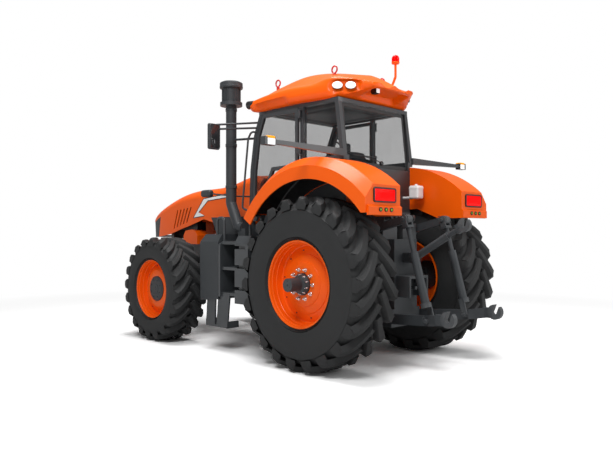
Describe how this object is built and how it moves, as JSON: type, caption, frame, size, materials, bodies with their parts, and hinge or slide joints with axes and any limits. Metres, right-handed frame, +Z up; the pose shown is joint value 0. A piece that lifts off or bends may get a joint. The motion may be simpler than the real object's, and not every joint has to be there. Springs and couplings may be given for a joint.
{
  "type": "farm tractor",
  "caption": "Large four-wheel-drive farm tractor with a glazed cab, tilting hood, steered front wheels, lugged tyres and a rear three-point hitch.",
  "frame": {"origin": "on the ground under the middle of the whole machine", "axes": "+X forward to the nose, +Y to the left, +Z up"},
  "size_m": [6.34, 3.98, 4.067],
  "materials": {
    "orange_paint": "gloss",
    "tyre_rubber": "matte",
    "cast_parts": "satin paint",
    "bright_steel": "satin",
    "tinted_glass": "clear",
    "red_lens": "gloss",
    "red_paint": "gloss",
    "white_paint": "gloss",
    "seat_cover": "woven",
    "dark_plastic": "satin",
    "dark_paint": "satin"
  },
  "bodies": {
    "chassis": {"air_stack": "dark_plastic", "beacon": "red_lens", "beacon_stalk": "orange_paint", "cab_base": "dark_paint", "cab_frame": "dark_paint", "cab_roof": "orange_paint", "drawbar": "cast_parts", "drive_shaft": "cast_parts", "engine_block": "cast_parts", "fixed_windows": "tinted_glass", "front_axle_beam": "cast_parts", "front_frame": "cast_parts", "front_guards": "orange_paint", "fuel_tank_left": "dark_plastic", "fuel_tank_right": "dark_plastic", "gearbox_housing": "cast_parts", "hand_rails": "dark_paint", "hitch_frame": "cast_parts", "hood_hinges": "cast_parts", "lift_saddle": "cast_parts", "lifting_eyes": "red_paint", "marker_arms": "dark_paint", "mirrors": "dark_plastic", "rear_axle_housing": "cast_parts", "rear_fender_left": "orange_paint", "rear_fender_right": "orange_paint", "seat": "seat_cover", "steering_console": "dark_plastic", "steering_cylinder": "cast_parts", "step_ladder": "dark_paint", "tail_lamps": "red_lens", "valve_block": "cast_parts", "work_lamp": "white_paint"},
    "rear_wheel_left": {"rear_tyre_left": "tyre_rubber", "rear_rim_left": "orange_paint", "rear_hub_left": "cast_parts"},
    "rear_wheel_right": {"rear_tyre_right": "tyre_rubber", "rear_rim_right": "orange_paint", "rear_hub_right": "cast_parts"},
    "front_wheel_left": {"front_tyre_left": "tyre_rubber", "front_rim_left": "orange_paint", "front_hub_left": "cast_parts"},
    "front_wheel_right": {"front_tyre_right": "tyre_rubber", "front_rim_right": "orange_paint", "front_hub_right": "cast_parts"},
    "steer_knuckle_left": {"knuckle_left": "cast_parts"},
    "cab_door_left": {"door_left": "dark_paint", "door_glass_left": "tinted_glass"},
    "steer_knuckle_right": {"knuckle_right": "cast_parts"},
    "cab_door_right": {"door_right": "dark_paint", "door_glass_right": "tinted_glass"},
    "steering_slider": {"steering_rod": "bright_steel"},
    "engine_hood": {"hood": "orange_paint", "grille": "dark_plastic"},
    "hitch_links": {"lower_links": "cast_parts"},
    "hitch_arms": {"lift_arms": "cast_parts"},
    "hitch_rods": {"lift_rods": "cast_parts"},
    "hitch_top": {"top_link": "cast_parts"}
  },
  "joints": [
    {"name": "rear_spin_left", "type": "hinge", "parent": "chassis", "child": "rear_wheel_left", "pos_m": [-1.57, 1.05, 1.035], "axis": [0, 1, 0], "continuous": true},
    {"name": "steer_left", "type": "hinge", "parent": "chassis", "child": "steer_knuckle_left", "pos_m": [1.63, 0.8, 0.786], "axis": [0, 0, 1], "range_deg": [-40, 40]},
    {"name": "front_spin_left", "type": "hinge", "parent": "steer_knuckle_left", "child": "front_wheel_left", "pos_m": [1.63, 1.145, 0.786], "axis": [0, 1, 0], "continuous": true},
    {"name": "door_left_open", "type": "hinge", "parent": "chassis", "child": "cab_door_left", "pos_m": [-1.01, 0.77, 2.9], "axis": [0, 0, 1], "range_deg": [0, 65]},
    {"name": "rear_spin_right", "type": "hinge", "parent": "chassis", "child": "rear_wheel_right", "pos_m": [-1.57, -1.05, 1.035], "axis": [0, 1, 0], "continuous": true},
    {"name": "steer_right", "type": "hinge", "parent": "chassis", "child": "steer_knuckle_right", "pos_m": [1.63, -0.8, 0.786], "axis": [0, 0, 1], "range_deg": [-40, 40]},
    {"name": "front_spin_right", "type": "hinge", "parent": "steer_knuckle_right", "child": "front_wheel_right", "pos_m": [1.63, -1.145, 0.786], "axis": [0, 1, 0], "continuous": true},
    {"name": "door_right_open", "type": "hinge", "parent": "chassis", "child": "cab_door_right", "pos_m": [-1.01, -0.77, 2.9], "axis": [0, 0, -1], "range_deg": [0, 65]},
    {"name": "steering_slide", "type": "slide", "parent": "chassis", "child": "steering_slider", "axis": [0, 1, 0], "range_m": [-0.17, 0.17]},
    {"name": "hood_tilt", "type": "hinge", "parent": "chassis", "child": "engine_hood", "pos_m": [0.16, 0, 2.415], "axis": [0, -1, 0], "range_deg": [0, 48]},
    {"name": "hitch_lift", "type": "hinge", "parent": "chassis", "child": "hitch_links", "pos_m": [-2, 0, 0.59], "axis": [0, 1, 0], "range_deg": [-20, 22]},
    {"name": "lift_arm_turn", "type": "hinge", "parent": "chassis", "child": "hitch_arms", "pos_m": [-1.91, 0, 1.67], "axis": [0, 1, 0], "range_deg": [-28, 31]},
    {"name": "lift_rod_swing", "type": "hinge", "parent": "hitch_arms", "child": "hitch_rods", "pos_m": [-2.435, 0, 1.8], "axis": [0, 1, 0], "range_deg": [-28, 26]},
    {"name": "top_link_swing", "type": "hinge", "parent": "chassis", "child": "hitch_top", "pos_m": [-2.27, 0, 1.33], "axis": [0, 1, 0], "range_deg": [-45, 20]}
  ],
  "couplings": [
    {"joint": "steer_right", "follows": "steer_left", "ratio": 1},
    {"joint": "steering_slide", "follows": "steer_left", "m_per_rad": 0.2275},
    {"joint": "lift_arm_turn", "follows": "hitch_lift", "ratio": 1.371},
    {"joint": "lift_rod_swing", "follows": "hitch_lift", "ratio": -1.25}
  ]
}
